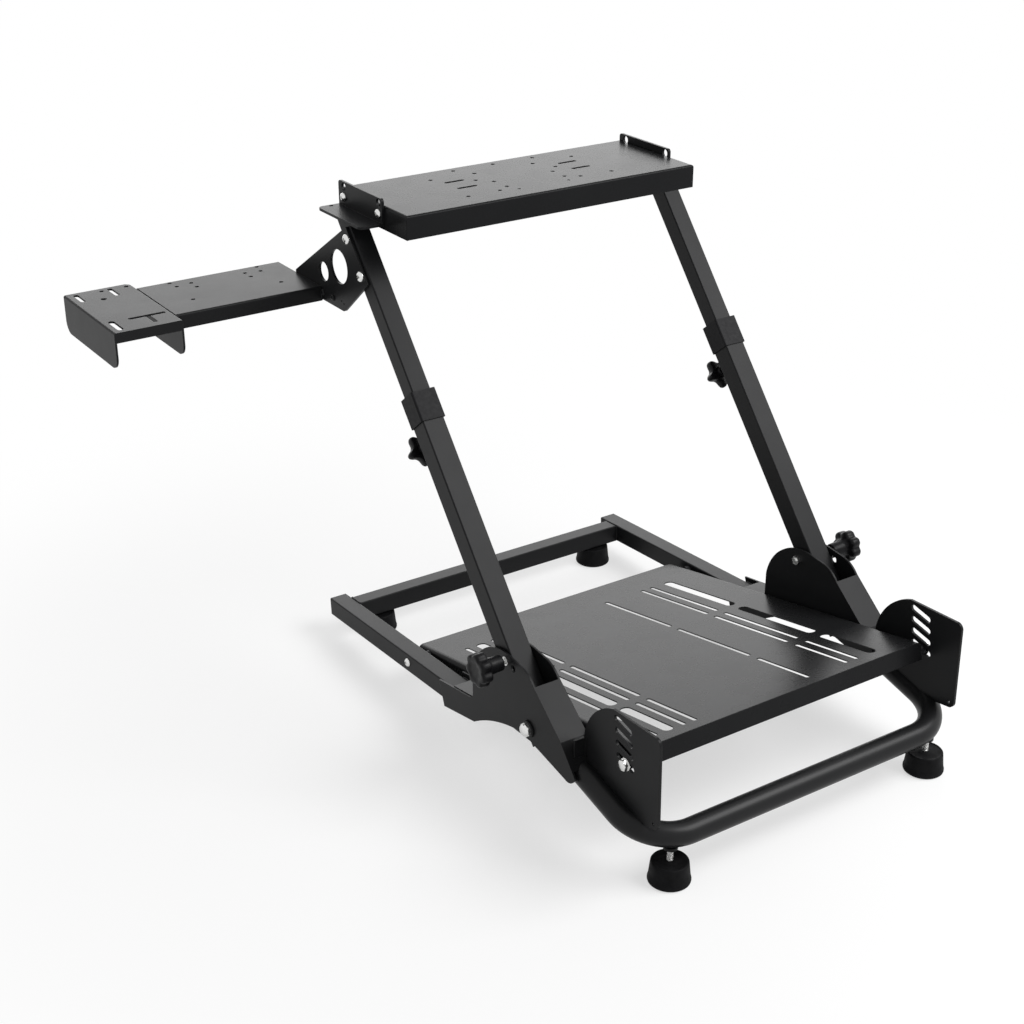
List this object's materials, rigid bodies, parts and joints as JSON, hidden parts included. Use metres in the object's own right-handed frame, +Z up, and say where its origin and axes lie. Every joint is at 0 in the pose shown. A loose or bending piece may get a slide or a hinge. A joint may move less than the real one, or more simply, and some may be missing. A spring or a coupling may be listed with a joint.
{
  "type": "racing wheel stand",
  "caption": "Folding steel stand for a racing wheel and pedals, with telescoping legs, a tilted pedal pan and a side arm for a shifter.",
  "frame": {"origin": "floor level under the middle of the overall box, shifter arm and knobs included", "axes": "+Z up, +Y towards the driver's seat, +X to the right seen from the pedal end with the shifter arm on -X"},
  "size_m": [0.997, 1.0094, 0.771],
  "materials": {
    "powder_coat": "fine satin black powder coat",
    "plate_coat": "semi-gloss black powder coat",
    "bright_steel": "bright zinc plated steel",
    "black_plastic": "moulded black plastic",
    "knob_plastic": "moulded black plastic",
    "foot_rubber": "moulded black rubber"
  },
  "bodies": {
    "floor_frame": {"left_hinge_bracket": "powder_coat", "left_pivot_bolt": "bright_steel", "left_lock_stop": "bright_steel", "left_side_rail": "powder_coat", "left_rail_cap": "black_plastic", "left_pedal_bracket": "powder_coat", "left_front_foot": "foot_rubber", "left_rear_foot": "foot_rubber", "left_front_stud": "bright_steel", "left_rear_stud": "bright_steel", "left_front_spacer": "black_plastic", "left_rear_spacer": "black_plastic", "right_hinge_bracket": "powder_coat", "right_pivot_bolt": "bright_steel", "right_lock_stop": "bright_steel", "right_side_rail": "powder_coat", "right_rail_cap": "black_plastic", "right_pedal_bracket": "powder_coat", "right_front_foot": "foot_rubber", "right_rear_foot": "foot_rubber", "right_front_stud": "bright_steel", "right_rear_stud": "bright_steel", "right_front_spacer": "black_plastic", "right_rear_spacer": "black_plastic", "rear_crossbar": "powder_coat", "front_tube": "powder_coat", "pedal_pan": "plate_coat"},
    "lower_legs": {"left_outer_tube": "powder_coat", "left_collar": "black_plastic", "right_outer_tube": "powder_coat", "right_collar": "black_plastic"},
    "upper_frame": {"left_inner_tube": "powder_coat", "left_deck_bracket": "powder_coat", "right_inner_tube": "powder_coat", "right_deck_bracket": "powder_coat", "deck_plate": "plate_coat", "gusset_plate": "powder_coat", "shifter_arm": "powder_coat", "end_bracket": "powder_coat"},
    "left_fold_screw": {"left_fold_knob": "knob_plastic"},
    "left_height_screw": {"left_height_knob": "knob_plastic"},
    "right_fold_screw": {"right_fold_knob": "knob_plastic"},
    "right_height_screw": {"right_height_knob": "knob_plastic"}
  },
  "joints": [
    {"name": "fold", "type": "hinge", "parent": "floor_frame", "child": "lower_legs", "pos_m": [0.1385, -0.23528, 0.13063], "axis": [-1, 0, 0], "range_deg": [0, 35]},
    {"name": "height", "type": "slide", "parent": "lower_legs", "child": "upper_frame", "axis": [0, 0.6394, 0.7688], "range_m": [-0.165, 0.115]},
    {"name": "left_fold_knob_turn", "type": "hinge", "parent": "floor_frame", "child": "left_fold_screw", "pos_m": [-0.1935, -0.17691, 0.2102], "axis": [-1, 0, 0], "continuous": true},
    {"name": "left_height_knob_turn", "type": "hinge", "parent": "lower_legs", "child": "left_height_screw", "pos_m": [-0.139, 0.07076, 0.43604], "axis": [0, 0.7688, -0.6394], "continuous": true},
    {"name": "right_fold_knob_turn", "type": "hinge", "parent": "floor_frame", "child": "right_fold_screw", "pos_m": [0.4705, -0.17691, 0.2102], "axis": [1, 0, 0], "continuous": true},
    {"name": "right_height_knob_turn", "type": "hinge", "parent": "lower_legs", "child": "right_height_screw", "pos_m": [0.416, 0.07076, 0.43604], "axis": [0, 0.7688, -0.6394], "continuous": true}
  ]
}
